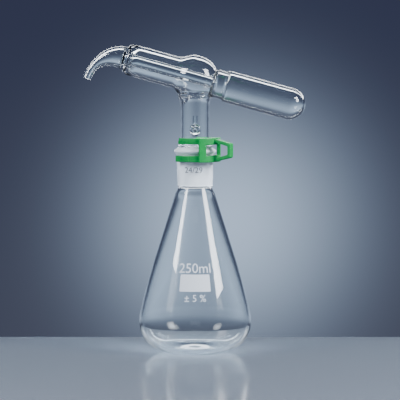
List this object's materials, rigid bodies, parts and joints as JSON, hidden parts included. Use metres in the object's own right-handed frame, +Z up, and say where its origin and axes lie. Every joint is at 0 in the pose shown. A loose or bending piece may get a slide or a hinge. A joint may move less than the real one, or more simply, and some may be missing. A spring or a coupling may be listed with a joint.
{
  "type": "tilting dose dispenser flask",
  "caption": "Conical 250 ml glass flask with a ground joint, a blown tilting dosing head with a bent spout and measuring chamber, and a sprung plastic joint clip.",
  "frame": {"origin": "middle of the flask's flat foot, on the axis of the ground joint", "axes": "+Z up along the joint's axis; the spout points along -X and the measuring chamber along +X; the arm lies in the plane Y=0"},
  "size_m": [0.1689, 0.0852, 0.2332],
  "materials": {
    "clear_glass": "clear polished borosilicate",
    "ground_glass": "white ground surface",
    "green_plastic": "moulded, satin gloss"
  },
  "bodies": {
    "flask": {"flask_body": "clear_glass", "ground_socket": "ground_glass"},
    "head": {"ground_cone": "ground_glass", "stem_tube": "clear_glass", "vent_tube": "clear_glass", "bulb_and_jacket": "clear_glass", "delivery_tube": "clear_glass", "spout": "clear_glass", "seal_collar": "clear_glass", "measuring_chamber": "clear_glass"},
    "clip": {"clip_back": "green_plastic"},
    "clip_front_jaw": {"clip_upper_front_arm": "green_plastic", "clip_lower_front_arm": "green_plastic"},
    "clip_rear_jaw": {"clip_upper_rear_arm": "green_plastic", "clip_lower_rear_arm": "green_plastic"}
  },
  "joints": [
    {"name": "head_turn", "type": "hinge", "parent": "flask", "child": "head", "pos_m": [0, 0, 0.1415], "axis": [0, 0, 1], "continuous": true},
    {"name": "clip_turn", "type": "hinge", "parent": "flask", "child": "clip", "pos_m": [0, 0, 0.154], "axis": [0, 0, 1], "continuous": true},
    {"name": "clip_front_jaw_flex", "type": "hinge", "parent": "clip", "child": "clip_front_jaw", "pos_m": [0.00541, -0.01717, 0.154], "axis": [0, 0, 1], "range_deg": [0, 7], "stiffness_Nm_per_rad": 2.5},
    {"name": "clip_rear_jaw_flex", "type": "hinge", "parent": "clip", "child": "clip_rear_jaw", "pos_m": [0.01797, 0.0011, 0.154], "axis": [0, 0, -1], "range_deg": [0, 7], "stiffness_Nm_per_rad": 2.5}
  ],
  "couplings": [
    {"joint": "clip_rear_jaw_flex", "follows": "clip_front_jaw_flex", "ratio": 1}
  ]
}
